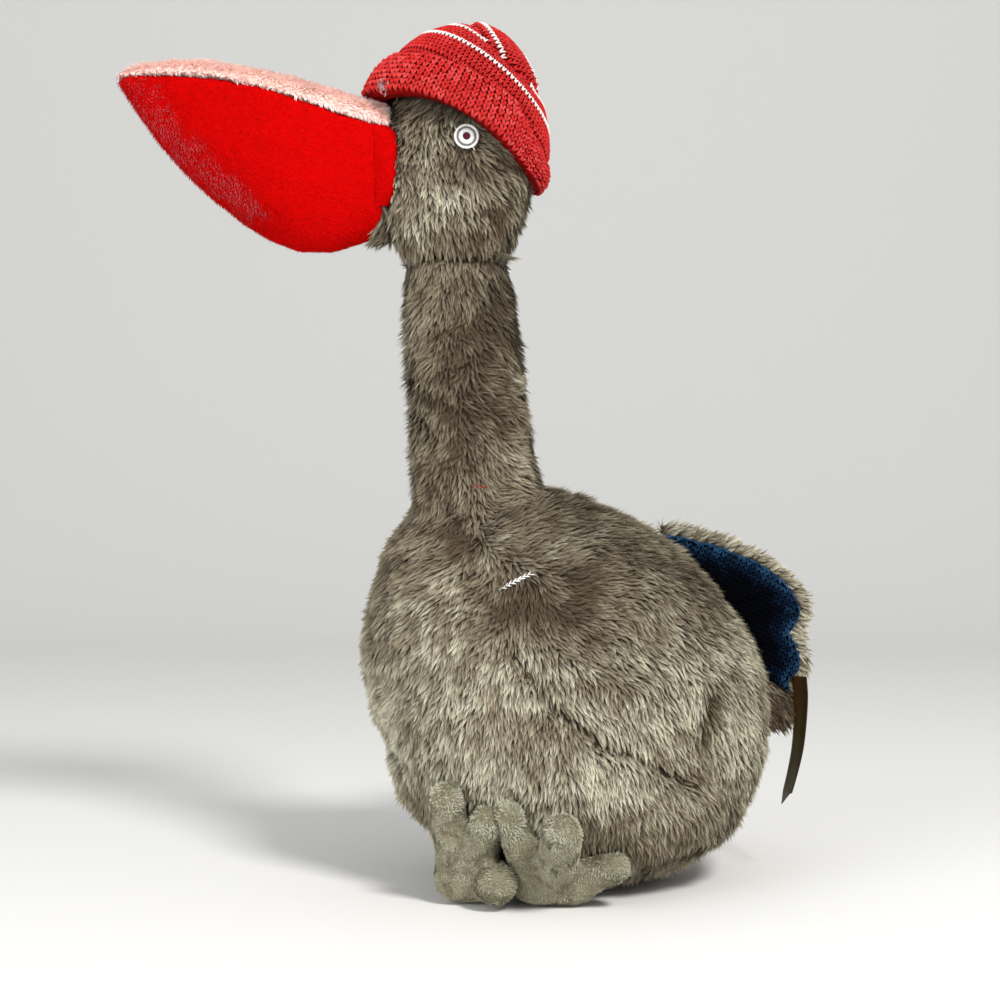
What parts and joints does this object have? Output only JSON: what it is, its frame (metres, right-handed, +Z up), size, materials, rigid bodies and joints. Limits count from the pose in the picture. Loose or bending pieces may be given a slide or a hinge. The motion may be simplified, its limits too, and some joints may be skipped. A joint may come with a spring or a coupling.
{
  "type": "plush pelican",
  "caption": "Sitting stuffed pelican with a long neck, a big pouched bill turned aside, a knitted hat with a rolled cuff, short lined wings and soft feet.",
  "frame": {"origin": "centre of the flat patch under the body, on the surface that the bird sits on", "axes": "+Z up, -Y the way the body faces, +X the bird's left"},
  "size_m": [0.2133, 0.2652, 0.3558],
  "materials": {
    "body_plush": "long-pile plush, combed",
    "salmon_velour": "short-pile velour",
    "red_velour": "short-pile velour",
    "red_knit": "knitted yarn with white rounds",
    "eye_thread": "satin-stitched thread",
    "navy_knit": "knitted yarn",
    "foot_fleece": "short-pile fleece",
    "brown_satin": "satin ribbon"
  },
  "bodies": {
    "root": {"body": "body_plush", "head": "body_plush", "bill_top": "salmon_velour", "bill_pouch": "red_velour", "knit_hat": "red_knit", "eye_left": "eye_thread", "eye_right": "eye_thread", "wing_left_fur": "body_plush", "wing_left_lining": "navy_knit", "wing_right_fur": "body_plush", "wing_right_lining": "navy_knit", "tail": "body_plush", "foot_left": "foot_fleece", "foot_right": "foot_fleece", "ribbon": "brown_satin"}
  },
  "joints": []
}
